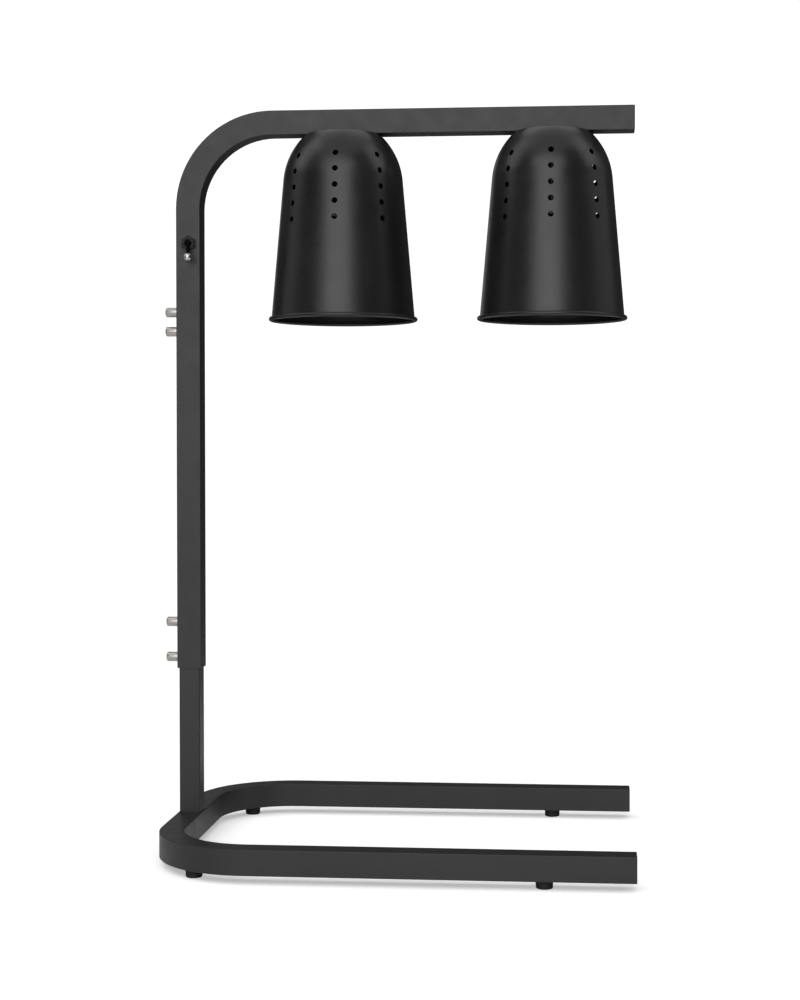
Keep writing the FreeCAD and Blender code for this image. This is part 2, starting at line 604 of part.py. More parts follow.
def make_switch():
    """Toggle switch: its case stands inside the mast, its bushing comes out of the front face.
    The bushing, pin and lever are turned a few degrees about the bushing's axis."""
    case = box("SwitchCase", "switch_width", "switch_depth", "switch_height")
    node(place(case, SWITCH_X + " - switch_width / 2", MAST_FRONT + " + tube_wall + 0.1",
               "switch_z - switch_height / 2"), "switch_case")

    bushing = new_body("SwitchBushing")
    wall_behind = "(tube_wall + 0.1)"
    shank = draw_circle(sketch_on(bushing, "XZ_Plane", "-" + wall_behind), "0", "0", "bushing_radius")
    pad(bushing, shank, "bushing_front + " + wall_behind)
    slot = sketch_on(bushing, "XZ_Plane", "bushing_front")
    half, flat = "slot_width / 2", "(slot_height - slot_width) / 2"
    draw(slot, [("-" + half, "-" + flat), (half, "-" + flat), (half, flat), ("-" + half, flat)],
         {0: ("slot_width * 0.52", 1), 2: ("slot_width * 0.52", 1)})
    cut(bushing, slot, "bushing_front - 0.6")
    pin_hole = sketch_on(bushing, "YZ_Plane")
    draw_circle(pin_hole, "-pivot_out", "0", "pivot_pin_radius + 0.01")
    hole = bushing.newObject("PartDesign::Pocket", "SwitchBushing_pin_hole")
    hole.Profile = pin_hole
    hole.Type = "Length"
    bind(hole, Length="2 * pivot_pin_half + 0.02")
    hole.Midplane = True
    doc.recompute()
    node(place(bushing, SWITCH_X, MAST_FRONT, "switch_z", SWITCH_TURN), "switch_bushing")

    washer = new_body("DressWasher")
    section = draw_circle(sketch_on(washer, "XZ_Plane"), "0", "0", "dress_washer_radius")
    pad(washer, draw_circle(section, "0", "0", "bushing_radius + 0.1"), "dress_washer")
    node(place(washer, SWITCH_X, MAST_FRONT, "switch_z"), "switch_washer")

    nut = new_body("DressNut")
    section = draw_hexagon(sketch_on(nut, "XY_Plane"), "dress_nut_flats")
    pad(nut, draw_circle(section, "0", "0", "bushing_radius + fit_gap"), "dress_nut")
    flats, wide = "dress_nut_flats / 2", "dress_nut_flats"
    bevel(nut, [(flats, "dress_nut + 0.1"), (wide, "dress_nut + 0.1"),
                (wide, "dress_nut - dress_nut_flats / 3.4")])
    node(place(nut, SWITCH_X, MAST_FRONT + " - dress_washer", "switch_z", TOWARDS_FRONT), "switch_nut")

    pin = cylinder("PivotPin", "pivot_pin_radius", "2 * pivot_pin_half")
    pin_turn = SWITCH_TURN.multiply(ALONG_X)
    sink = "cos(switch_turn * 1 deg) * pivot_pin_half", "sin(switch_turn * 1 deg) * pivot_pin_half"
    node(place(pin, "%s - %s" % (SWITCH_X, sink[0]), MAST_FRONT + " - pivot_out",
               "switch_z + %s" % sink[1], pin_turn), "switch_pivot_pin")


def make_lever():
    """The lever and the ball on its end, modelled upright and then tipped down about the pivot."""
    tip_turn = SWITCH_TURN.multiply(FreeCAD.Rotation(FreeCAD.Vector(1, 0, 0), 90 + number("lever_angle")))
    at_pivot = {"x": SWITCH_X, "y": MAST_FRONT + " - pivot_out", "z": "switch_z"}

    lever = new_body("Lever")
    neck = "sqrt(pivot_ball ^ 2 - lever_root ^ 2)"
    seat = "(lever_reach - sqrt(lever_ball ^ 2 - lever_end ^ 2))"
    turned(lever, [("0", "-pivot_ball"), ("pivot_ball", "0"), ("lever_root", neck), ("lever_end", seat),
                   ("0", seat)],
           {0: ("pivot_ball", 1), 1: ("pivot_ball", 1)})
    bore = sketch_on(lever, "YZ_Plane")
    draw_circle(bore, "0", "0", "pivot_pin_radius + 0.03")
    cut(lever, bore, "0", through=True)
    node(place(lever, turn=tip_turn, **at_pivot), "switch_lever")

    knob = new_body("LeverBall")
    turned(knob, [("0", seat), ("lever_end", seat), ("lever_ball", "lever_reach"),
                  ("0", "lever_reach + lever_ball")],
           {1: ("lever_ball", 1), 2: ("lever_ball", 1)})
    node(place(knob, turn=tip_turn, **at_pivot), "switch_lever_ball")


# ---------------------------------------------------------------- wiring

def make_wire(label, side, lamp, arm_level, lower_end):
    """One wire up the mast, round the bend, along the arm and down through a shade's nipple."""
    body = new_body(label.title().replace("_", ""))
    radius = "(bend_radius + %s - arm_axis_z)" % arm_level
    rise = "(mast_x + bend_radius - %s)" % radius
    spine = draw(sketch_on(body, "XZ_Plane"),
                 [(rise, lower_end), (rise, "arm_axis_z - bend_radius"), ("mast_x + bend_radius", arm_level),
                  (lamp + " - wire_turn", arm_level), (lamp, arm_level + " - wire_turn"),
                  (lamp, ARM_UNDERSIDE + " - wire_drop")],
                 {1: (radius, -1), 3: ("wire_turn", -1)}, closed=False)
    section = draw_circle(sketch_on(body, "XY_Plane", lower_end), rise, "0", "wire_radius")
    doc.recompute()
    swept(body, spine, section)
    node(place(body, y=side + "wire_side"), label)


def make_wiring():
    for index, (lamp, level) in enumerate(zip(LAMPS, ("wire_low_z", "wire_high_z")), start=1):
        make_wire("switched_wire_%d" % index, "-", lamp, level, "terminal_z")
        make_wire("neutral_wire_%d" % index, "", lamp, level, "splice_z")

    terminal_foot = "switch_z + switch_height / 2"
    strip = box("TerminalStrip", "terminal_length", "terminal_width", "terminal_z - (%s)" % terminal_foot)
    node(place(strip, "mast_x - 8", "-wire_side - terminal_width / 2", terminal_foot), "switch_terminal")

    splice = box("Splice", "splice_length", "splice_width", "splice_height")
    rounded = doc.addObject("Part::Fillet", "SpliceRounded")
    rounded.Base = splice
    doc.recompute()
    upright = [i + 1 for i, edge in enumerate(splice.Shape.Edges)
               if abs(edge.tangentAt(edge.FirstParameter).z) > 0.9]
    corner = number("splice_round")
    rounded.Edges = [(i, corner, corner) for i in upright]
    node(place(rounded, "mast_x - 7.7", "wire_side - 1.2", "splice_z - splice_height"), "wire_splice")

    inlet = new_body("CordInlet")
    turned(inlet, [("inlet_bore", "-4"), ("inlet_radius", "-4"), ("inlet_radius", "0"),
                   ("inlet_flange_radius", "0"), ("inlet_flange_radius", "inlet_flange - 0.6"),
                   ("inlet_flange_radius - 0.6", "inlet_flange"), ("inlet_bore + 0.8", "inlet_flange"),
                   ("inlet_bore", "inlet_flange - 0.8")])
    node(place(inlet, "mast_x", "tube / 2", "inlet_z", TOWARDS_REAR), "cord_inlet_bush")


# ---------------------------------------------------------------- build, check and write

make_base()
make_mast()
make_upper_frame()
make_clamp_screws()
make_lamps()
make_switch()
make_lever()
make_wiring()
doc.recompute()

for thing in doc.Objects:
    if {"Invalid", "Error"} & set(thing.State):
        raise RuntimeError("%s did not build: %s" % (thing.Label, thing.State))
for label, thing in NODES.items():
    if thing.Shape.isNull() or not thing.Shape.isValid():
        raise RuntimeError("%s has a bad shape" % label)

os.makedirs("parts", exist_ok=True)
for label, thing in NODES.items():
    thing.Shape.exportStep("parts/%s.step" % label)
    print("%-24s %2d solids %10.1f mm3" % (label, len(thing.Shape.Solids), thing.Shape.Volume))
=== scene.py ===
import math
import bmesh
import bpy
from mathutils import Matrix, Vector


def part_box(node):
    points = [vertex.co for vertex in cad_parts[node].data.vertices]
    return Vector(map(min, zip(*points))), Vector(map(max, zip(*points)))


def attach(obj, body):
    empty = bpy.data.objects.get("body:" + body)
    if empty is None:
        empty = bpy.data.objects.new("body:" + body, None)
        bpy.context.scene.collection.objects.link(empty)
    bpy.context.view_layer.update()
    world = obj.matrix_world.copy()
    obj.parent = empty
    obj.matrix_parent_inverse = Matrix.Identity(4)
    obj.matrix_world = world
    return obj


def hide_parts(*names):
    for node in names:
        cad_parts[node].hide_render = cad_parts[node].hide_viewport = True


# Looks of the countertop heat lamp warmer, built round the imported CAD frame. Metres, +Z up,
# floor at Z = 0, the arm runs along +X and the toggle switch faces -Y.

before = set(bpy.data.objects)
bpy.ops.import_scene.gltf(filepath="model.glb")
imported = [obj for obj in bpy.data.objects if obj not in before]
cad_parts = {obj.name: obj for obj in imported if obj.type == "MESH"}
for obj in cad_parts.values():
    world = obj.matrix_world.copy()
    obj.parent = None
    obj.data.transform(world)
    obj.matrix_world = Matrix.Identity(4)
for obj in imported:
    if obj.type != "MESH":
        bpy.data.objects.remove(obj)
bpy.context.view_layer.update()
SCENE = bpy.context.scene
LAMPS = (1, 2)
MM = 0.001


# ---------------------------------------------------------------- places read from the frame

def corners(node):
    low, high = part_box(node)
    return Vector(low), Vector(high)


def centre(node):
    low, high = corners(node)
    return (low + high) / 2


# ---------------------------------------------------------------- node material helpers

class Nodes:
    """A short way to write a material's node tree."""

    def __init__(self, name):
        self.material = bpy.data.materials.new(name)
        self.material.use_nodes = True
        self.tree = self.material.node_tree
        self.shader = self.tree.nodes["Principled BSDF"]
        self.place = self.add("ShaderNodeTexCoord").outputs["Object"]

    def add(self, kind, **settings):
        made = self.tree.nodes.new(kind)
        for key, value in settings.items():
            setattr(made, key, value)
        return made

    def join(self, source, target):
        self.tree.links.new(source, target)

    def give(self, socket, value):
        """Link an input to a socket, or set its plain value."""
        if isinstance(value, bpy.types.NodeSocket):
            self.join(value, socket)
        else:
            socket.default_value = value

    def feed(self, node, **inputs):
        for key, value in inputs.items():
            self.give(node.inputs[key.replace("_", " ")], value)
        return node

    def grain(self, scale, detail=3.0, roughness=0.5, stretch=None):
        """Noise in the object's own space, with features about 1 / scale metres wide."""
        spot = self.place
        if stretch:
            spot = self.feed(self.add("ShaderNodeMapping"), Vector=spot, Scale=stretch).outputs[0]
        made = self.feed(self.add("ShaderNodeTexNoise"), Vector=spot, Scale=scale, Detail=detail,
                         Roughness=roughness)
        return made.outputs["Fac"]

    def remap(self, value, low, high, start=0.0, end=1.0):
        """Map the span start..end of a socket to low..high."""
        made = self.feed(self.add("ShaderNodeMapRange"), Value=value, From_Min=start, From_Max=end,
                         To_Min=low, To_Max=high)
        return made.outputs[0]

    def tint(self, factor, first, second):
        """Mix two colours by a factor socket; either colour may be a socket too."""
        made = self.feed(self.add("ShaderNodeMix", data_type="RGBA"), Factor=factor)
        for name, colour in (("A", first), ("B", second)):
            plain = not isinstance(colour, bpy.types.NodeSocket)
            self.give(made.inputs[name], (*colour, 1) if plain else colour)
        return made.outputs["Result"]

    def maths(self, operation, first, second):
        made = self.add("ShaderNodeMath", operation=operation)
        self.give(made.inputs[0], first)
        self.give(made.inputs[1], second)
        return made.outputs[0]

    def edges(self, radius):
        """1 on edges that a hand or cloth would rub, 0 on open faces."""
        rounded = self.feed(self.add("ShaderNodeBevel", samples=4), Radius=radius).outputs[0]
        sharp = self.add("ShaderNodeNewGeometry").outputs["Normal"]
        turn = self.add("ShaderNodeVectorMath", operation="DOT_PRODUCT")
        self.join(rounded, turn.inputs[0])
        self.join(sharp, turn.inputs[1])
        return self.remap(turn.outputs["Value"], 1.0, 0.0, 0.72, 0.985)

    def bump(self, *layers):
        """Layers are (height socket, depth in metres), stacked one on the other."""
        normal = None
        for height, depth in layers:
            made = self.feed(self.add("ShaderNodeBump"), Height=height, Distance=depth,
                             Strength=1.0)
            if normal:
                self.join(normal, made.inputs["Normal"])
            normal = made.outputs[0]
        self.join(normal, self.shader.inputs["Normal"])

    def finish(self, **inputs):
        self.feed(self.shader, **inputs)
        return self.material


# ---------------------------------------------------------------- materials

def powder_coat():
    """Satin black powder coat: orange peel, slight clouding, faintly rubbed on the edges."""
    n = Nodes("powder_coat")
    peel = n.grain(900, 2.0)
    fine = n.grain(4200, 2.0)
    cloud = n.remap(n.grain(14, 4.0, 0.6), 0.0, 1.0, 0.3, 0.7)
    plain = n.tint(cloud, (0.0102, 0.0102, 0.0104), (0.0135, 0.0135, 0.0137))
    wear = n.remap(n.grain(160, 5.0, 0.7), 0.0, 0.5, 0.5, 0.8)
    rubbed = n.maths("MULTIPLY", n.edges(0.0004), wear)
    colour = n.tint(rubbed, plain, (0.030, 0.030, 0.029))
    n.bump((peel, 0.00003), (fine, 0.000006))
    rough = n.remap(n.grain(60, 4.0, 0.6), 0.43, 0.51, 0.3, 0.7)
    return n.finish(Base_Color=colour, Roughness=rough, Specular_IOR_Level=0.42)


def shade_enamel():
    """Smoother, slightly glossier enamel on the spun shades, with faint spinning rings."""
    n = Nodes("shade_enamel")
    cloud = n.remap(n.grain(22, 4.0, 0.6), 0.0, 1.0, 0.3, 0.7)
    colour = n.tint(cloud, (0.008, 0.008, 0.0082), (0.0105, 0.0105, 0.0107))
    rings = n.grain(1.0, 2.0, 0.5, stretch=(4.0, 4.0, 520.0))
    peel = n.grain(1100, 2.0)
    n.bump((rings, 0.000012), (peel, 0.000009))
    rough = n.remap(n.grain(45, 5.0, 0.65), 0.27, 0.36, 0.3, 0.7)
    return n.finish(Base_Color=colour, Roughness=rough, Specular_IOR_Level=0.38)


def rubber():
    """Dull black rubber, slightly speckled and pitted."""
    n = Nodes("foot_rubber")
    speck = n.grain(700, 4.0, 0.7)
    colour = n.tint(speck, (0.006, 0.006, 0.006), (0.013, 0.0125, 0.012))
    n.bump((n.grain(1500, 3.0), 0.00004), (n.grain(220, 3.0), 0.00004))
    return n.finish(Base_Color=colour, Roughness=n.remap(speck, 0.62, 0.8), Specular_IOR_Level=0.3)


def moulded(name, dark, light, gloss, shine=0.5):
    """Moulded plastic with a fine texture."""
    n = Nodes(name)
    cloud = n.grain(90, 4.0, 0.6)
    n.bump((n.grain(2600, 2.0), 0.000012), (n.grain(320, 3.0), 0.00001))
    rough = n.remap(n.grain(180, 4.0, 0.6), gloss - 0.05, gloss + 0.08, 0.3, 0.7)
    return n.finish(Base_Color=n.tint(cloud, dark, light), Roughness=rough,
                    Specular_IOR_Level=shine)


def metal(name, dark, light, gloss, brush=(900.0, 900.0, 40.0), depth=0.000004):
    """Bare or plated metal with fine scratches along one direction and small smudges."""
    n = Nodes(name)
    lines = n.grain(1.0, 3.0, 0.6, stretch=brush)
    smudge = n.grain(140, 5.0, 0.65)
    n.bump((lines, depth))
    dull = n.remap(smudge, gloss, gloss + 0.12, 0.35, 0.7)
    rough = n.maths("ADD", dull, n.remap(lines, -0.03, 0.03))
    return n.finish(Base_Color=n.tint(smudge, dark, light), Roughness=rough, Metallic=1.0)


def ruby_glass():
    """Stained reflector-lamp glass: nearly black by daylight, deep red, with a fine stipple."""
    n = Nodes("ruby_glass")
    cloud = n.grain(40, 4.0, 0.6)
    stipple = n.grain(1300, 1.0)
    n.bump((stipple, 0.00003))
    colour = n.tint(cloud, (0.020, 0.0012, 0.0018), (0.034, 0.0025, 0.003))
    return n.finish(Base_Color=colour, Roughness=n.remap(cloud, 0.1, 0.2), Coat_Weight=0.6,
                    Coat_Roughness=0.06)


def make_materials():
    return {
        "powder": powder_coat(),
        "enamel": shade_enamel(),
        "rubber": rubber(),
        "plastic": moulded("black_plastic", (0.008, 0.008, 0.0083), (0.013, 0.013, 0.0133), 0.45),
        "cap_plastic": moulded("cap_plastic", (0.006, 0.006, 0.0062), (0.009, 0.009, 0.0092), 0.62),
        "nut_plastic": moulded("nut_plastic", (0.003, 0.003, 0.003), (0.005, 0.005, 0.005), 0.5,
                               shine=0.28),
        # Near-black plastic with almost no reflection: the lever's own black, made darker still as
        # painted shade for the switch's slot and the lever's neck.
        "bat_black_painted_shade": moulded("bat_black_painted_shade", (0.001, 0.001, 0.001), (0.002, 0.002, 0.002), 0.6,
                               shine=0.04),
        "phenolic": moulded("phenolic", (0.010, 0.009, 0.008), (0.018, 0.015, 0.013), 0.22),
        "nylon": moulded("nylon", (0.55, 0.52, 0.45), (0.62, 0.59, 0.52), 0.45),
        "red_sleeve": moulded("red_sleeve", (0.30, 0.015, 0.012), (0.38, 0.022, 0.018), 0.4),
        "white_sleeve": moulded("white_sleeve", (0.62, 0.62, 0.60), (0.72, 0.72, 0.70), 0.4),
        "stainless": metal("stainless", (0.35, 0.335, 0.32), (0.43, 0.415, 0.40), 0.27,
                           (30.0, 3000.0, 3000.0), 0.0000002),
        "zinc": metal("zinc", (0.42, 0.43, 0.45), (0.55, 0.56, 0.58), 0.3),
        "chrome": metal("chrome", (0.47, 0.47, 0.48), (0.54, 0.54, 0.55), 0.26, depth=0.000001),
        "aluminium": metal("aluminium", (0.90, 0.90, 0.91), (0.96, 0.96, 0.97), 0.6),
        "brass": metal("brass", (0.55, 0.38, 0.15), (0.66, 0.48, 0.21), 0.26),
        "nickel": metal("nickel", (0.58, 0.55, 0.49), (0.68, 0.65, 0.59), 0.2),
        "ruby": ruby_glass(),
    }


MATERIALS = make_materials()


# ---------------------------------------------------------------- mesh helpers, in millimetres

def rounded(outline, steps=5):
    """Round the corners of a closed outline; a point's third number is its corner radius."""
    points = []
    for i, point in enumerate(outline):
        here = Vector(point[:2])
        if len(point) < 3:
            points.append(tuple(here))
            continue
        radius = point[2]
        before = (Vector(outline[i - 1][:2]) - here).normalized()
        after = (Vector(outline[(i + 1) % len(outline)][:2]) - here).normalized()
        half = before.angle(after) / 2
        middle = here + (before + after).normalized() * (radius / math.sin(half))
        start = here + before * (radius / math.tan(half)) - middle
        end = here + after * (radius / math.tan(half)) - middle
        sweep = math.atan2(start.cross(end), start.dot(end))
        for k in range(steps + 1):
            turn = sweep * k / steps
            points.append((middle.x + start.x * math.cos(turn) - start.y * math.sin(turn),
                           middle.y + start.x * math.sin(turn) + start.y * math.cos(turn)))
    return points


def bowed(start, end, radius, steps):
    """Points from start to end along a circle whose centre is nearer the axis, ends included."""
    first, last = Vector(start), Vector(end)
    chord = last - first
    across = Vector((-chord.y, chord.x)).normalized()
    if across.x > 0:
        across = -across
    middle = (first + last) / 2 + across * math.sqrt(radius ** 2 - (chord.length / 2) ** 2)
    begin = math.atan2(first.y - middle.y, first.x - middle.x)
    sweep = math.atan2(last.y - middle.y, last.x - middle.x) - begin
    return [(middle.x + radius * math.cos(begin + sweep * k / steps),
             middle.y + radius * math.sin(begin + sweep * k / steps)) for k in range(steps + 1)]


def ladder(radius, start, end, step):
    """Closely spaced points along a straight side, for a thread to be cut in."""
    count = max(2, round(abs(end - start) / step))
    return [(radius, start + (end - start) * k / count) for k in range(count + 1)]


def thread(radius, low, high, pitch, depth, crest=0.35):
    """A warp that cuts a helical thread into the side at one radius, fading out at its ends."""
    def warp(r, z, angle):
        if abs(r - radius) > 1e-6 or not low < z < high:
            return r
        phase = (z / pitch - angle / (2 * math.pi)) % 1.0
        groove = min(1.0, max(0.0, (abs(2 * phase - 1) - crest) / (1 - crest)))
        fade = min(1.0, (z - low) / pitch, (high - z) / pitch)
        return r - depth * groove * fade
    return warp


def lathe(bm, outline, place=None, segments=96, warp=None):
    """Turn a closed outline of (radius, height) points about the Z axis into faces of bm."""
    place = place or Matrix.Identity(4)
    rings = []
    for radius, height in outline:
        if radius < 1e-4:
            rings.append([bm.verts.new(place @ Vector((0, 0, height * MM)))])
            continue
        ring = []
        for i in range(segments):
            angle = 2 * math.pi * i / segments
            r = warp(radius, height, angle) if warp else radius
            spot = Vector((r * math.cos(angle), r * math.sin(angle), height)) * MM
            ring.append(bm.verts.new(place @ spot))
        rings.append(ring)
    for first, second in zip(rings, rings[1:] + rings[:1]):
        if len(first) == 1 and len(second) == 1:
            continue
        for i in range(segments):
            j = (i + 1) % segments
            if len(first) == 1:
                bm.faces.new((first[0], second[j], second[i]))
            elif len(second) == 1:
                bm.faces.new((first[i], first[j], second[0]))
            else:
                bm.faces.new((first[i], first[j], second[j], second[i]))


def ring_of(bm, points, place):
    return [bm.verts.new(place @ (Vector(point) * MM)) for point in points]


def skin(bm, rings):
    """Join rings of equal length into a tube and close its two ends."""
    for first, second in zip(rings, rings[1:]):
        for i in range(len(first)):
            j = (i + 1) % len(first)
            bm.faces.new((first[i], first[j], second[j], second[i]))
    bm.faces.new(rings[0])
    bm.faces.new(rings[-1])


def square_points(half, corner, height, steps=6):
    """A square with round corners, at a height, as points."""
    points = []
    for k in range(4):
        middle = Vector((half - corner, half - corner, height))
        spin = Matrix.Rotation(math.pi / 2 * k, 4, "Z")
        for s in range(steps + 1):
            angle = math.pi / 2 * s / steps
            points.append(spin @ (middle + Vector((math.cos(angle), math.sin(angle), 0)) * corner))
    return points


def square_stack(bm, levels, place):
    """A solid of square sections; levels are (half width, corner radius, height)."""
    skin(bm, [ring_of(bm, square_points(*level), place) for level in levels])


def prism_points(sides, flats, height):
    """A regular polygon measured across its flats."""
    reach = flats / 2 / math.cos(math.pi / sides)
    angles = [2 * math.pi * (k + 0.5) / sides for k in range(sides)]
    return [(reach * math.cos(a), reach * math.sin(a), height) for a in angles]


def at(spot, direction=(0, 0, 1)):
    """A placement at a point in metres whose Z axis points along a direction."""
    turn = Vector((0, 0, 1)).rotation_difference(Vector(direction)).to_matrix().to_4x4()
    return Matrix.Translation(Vector(spot)) @ turn


def mesh_from(bm, name):
    bmesh.ops.recalc_face_normals(bm, faces=bm.faces)
    mesh = bpy.data.meshes.new(name)
    bm.to_mesh(mesh)
    bm.free()
    return mesh


def turned(name, outline, place=None, segments=96, warp=None):
    bm = bmesh.new()
    lathe(bm, rounded(outline), place, segments, warp)
    return mesh_from(bm, name)


def prism(name, sides, flats, low, high, place):
    bm = bmesh.new()
    skin(bm, [ring_of(bm, prism_points(sides, flats, height), place) for height in (low, high)])
    return mesh_from(bm, name)


def combined(mesh, tool, operation="DIFFERENCE"):
    """Cut one closed mesh with another, or keep what they share."""
    items = [bpy.data.objects.new("work", item) for item in (mesh, tool)]
    for item in items:
        SCENE.collection.objects.link(item)
    change = items[0].modifiers.new("cut", "BOOLEAN")
    change.operation = operation
    change.solver = "MANIFOLD"
    change.object = items[1]
    settled = items[0].evaluated_get(bpy.context.evaluated_depsgraph_get())
    result = bpy.data.meshes.new_from_object(settled)
    for item in items:
        bpy.data.objects.remove(item)
    result.name = mesh.name
    return result


def joined(name, meshes):
    bm = bmesh.new()
    for mesh in meshes:
        bm.from_mesh(mesh)
    made = bpy.data.meshes.new(name)
    bm.to_mesh(made)
    bm.free()
    return made


def piece(name, mesh, body, material, replaces, sharp=38):
    """A finished piece: smooth faces with sharp edges kept, a material and a body; the CAD nodes it
    stands in for are hidden."""
    made = bpy.data.objects.new(name, mesh)
    SCENE.collection.objects.link(made)
    mesh.shade_smooth()
    mesh.set_sharp_from_angle(angle=math.radians(sharp))
    mesh.materials.clear()
    mesh.materials.append(MATERIALS[material])
    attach(made, body)
    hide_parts(*replaces)


# ---------------------------------------------------------------- sizes shared by the pieces

ARM_UNDER = corners("lamp_shade_1")[1].z
LAMP_X = {index: centre("lamp_shade_%d" % index).x for index in LAMPS}
TUBE = 25.4
TUBE_CORNER = 0.6


# ---------------------------------------------------------------- lamps

SHADE_HEIGHT = 192.5
SHADE_SHEET = 1.0
SHADE_TAPER = 0.0872
RIM_CONE_RADIUS = 75.3
RIM_RING = (76.0, -SHADE_HEIGHT)
RIM_WIRE = 2.2
DOME_RADIUS = 73.2
DOME_DEPTH = 47.4
SHADE_TOP_RADIUS = 39.45
NIPPLE_HOLE = 5.2
VENT_RADIUS = 3.0
VENT_FIRST = 26.6
VENT_PITCH = 16.5
VENT_ROWS = 5
VENT_COLUMNS = 8

# Lampholder and lamp: heights are negative, measured down from the arm's underside.
HOLDER_RADIUS = 19
HOLDER_TOP = -2.5
HOLDER_SHOULDER = -14
HOLDER_END = -75
HOLDER_FLOOR = (-52, -56)  # top and underside
HOLDER_BORE = 5.05
HOLDER_WIRE_HOLE = 2.05
RIB_COUNT = 9
RIB_START = -30
RIB_PITCH = 4.6
GROOVE_RADIUS = 18.3
COLLAR_RADIUS = 18.9
COLLAR_GROOVE_RADIUS = 18.4
COLLAR_BORE = 15.05
COLLAR_TOP = -75.05

CAP_RADIUS = 13.1
CAP_TOP = -57.7
CAP_END = -81.7
CAP_PITCH = 3.63
CAP_THREAD_DEPTH = 1.25
NECK_RADIUS = 14.5
BULB_WIDEST = (47.5, -147)
BULB_BROW = (45.5, -167)
BULB_BOTTOM = -185
GLASS_THICKNESS = 1.2


def cone_radius(depth):
    """The shade wall's outer radius at a depth under its flat top."""
    return RIM_CONE_RADIUS - SHADE_TAPER * (SHADE_HEIGHT - depth)


def shade_outline():
    """Half section of a spun shade, measured down from its flat top: out over the dome, down the
    cone, round the rolled rim and back up inside."""
    outer = bowed((SHADE_TOP_RADIUS, 0), (cone_radius(DOME_DEPTH), -DOME_DEPTH), DOME_RADIUS, 28)
    inner = bowed((SHADE_TOP_RADIUS - 0.4, -SHADE_SHEET),
                  (cone_radius(DOME_DEPTH) - SHADE_SHEET, -DOME_DEPTH),
                  DOME_RADIUS - SHADE_SHEET, 28)
    rows = [DOME_DEPTH + (SHADE_HEIGHT - 3 - DOME_DEPTH) * k / 24 for k in range(1, 25)]
    wall_out = [(cone_radius(depth), -depth) for depth in rows]
    wall_in = [(cone_radius(depth) - SHADE_SHEET, -depth) for depth in rows[:-1]]
    roll = [math.radians(112 - 325 * k / 36) for k in range(37)]
    rim = [(RIM_RING[0] + RIM_WIRE * math.cos(a), RIM_RING[1] + RIM_WIRE * math.sin(a))
           for a in roll]
    top = [(NIPPLE_HOLE, -SHADE_SHEET), (NIPPLE_HOLE, 0), (SHADE_TOP_RADIUS - 8, 0)]
    crest = [outer[0] + (1.5,)]
    shoulder = [inner[0] + (1.0,)]
    outside = top + crest + outer[1:] + wall_out
    inside = wall_in[::-1] + inner[:0:-1] + shoulder
    return rounded(outside + rim + inside)


def shade_vents():
    """The drills for the shade's vent holes, all level, in straight columns."""
    bm = bmesh.new()
    for column in range(VENT_COLUMNS):
        spin = Matrix.Rotation(2 * math.pi * column / VENT_COLUMNS - math.pi / 2, 4, "Z")
        for row in range(VENT_ROWS):
            depth = VENT_FIRST + VENT_PITCH * row
            drill = spin @ at((0.040, 0, -depth * MM), (1, 0, 0))
            lathe(bm, [(0, 0), (VENT_RADIUS, 0), (VENT_RADIUS, 45), (0, 45)], drill, 28)
    return mesh_from(bm, "vents")


def make_shade(index):
    bm = bmesh.new()
    lathe(bm, shade_outline(), segments=200)
    mesh = combined(mesh_from(bm, "shade"), shade_vents())
    mesh.transform(Matrix.Translation((LAMP_X[index], 0, ARM_UNDER)))
    name = "lamp_shade_%d" % index
    piece("spun_shade_%d" % index, mesh, "lamp_frame", "enamel", [name], sharp=34)


def make_lampholder(index, under):
    """Moulded lampholder with a stepped shoulder and a ribbed skirt, and the metal collar below."""
    shoulder = [(HOLDER_BORE, HOLDER_TOP), (12, HOLDER_TOP, 0.8), (12, -6.5, 1.5),
                (HOLDER_RADIUS, HOLDER_SHOULDER, 2.0)]
    skirt = []
    for k in range(RIB_COUNT):
        low = RIB_START - RIB_PITCH * k
        skirt += [(HOLDER_RADIUS, low, 0.5), (GROOVE_RADIUS, low - 0.7, 0.3),
                  (GROOVE_RADIUS, low - 1.5, 0.3), (HOLDER_RADIUS, low - 2.2, 0.5)]
    floor_top, floor_under = HOLDER_FLOOR
    inside = [(HOLDER_RADIUS, HOLDER_END, 0.4), (15, HOLDER_END, 0.4), (15, floor_under),
              (HOLDER_WIRE_HOLE, floor_under), (HOLDER_WIRE_HOLE, floor_top), (7, floor_top),
              (7, -18), (HOLDER_BORE, HOLDER_SHOULDER)]
    body = turned("holder", shoulder + skirt + inside, under, 128)
    piece("lampholder_body_%d" % index, body, "lamp_frame", "phenolic",
          ["lampholder_%d" % index])

    collar = [(COLLAR_BORE, COLLAR_TOP), (COLLAR_RADIUS, COLLAR_TOP, 0.3), (COLLAR_RADIUS, -78),
              (COLLAR_GROOVE_RADIUS, -78.6, 0.3), (COLLAR_GROOVE_RADIUS, -79.4, 0.3),
              (COLLAR_RADIUS, -80, 0.3), (COLLAR_RADIUS, -84.6, 0.9), (18.1, -86.5, 0.6),
              (15.6, -86.5, 0.5), (COLLAR_BORE, -85.8)]
    piece("lampholder_ring_%d" % index, turned("collar", collar, under, 128), "lamp_frame",
          "aluminium", ["lampholder_collar_%d" % index])


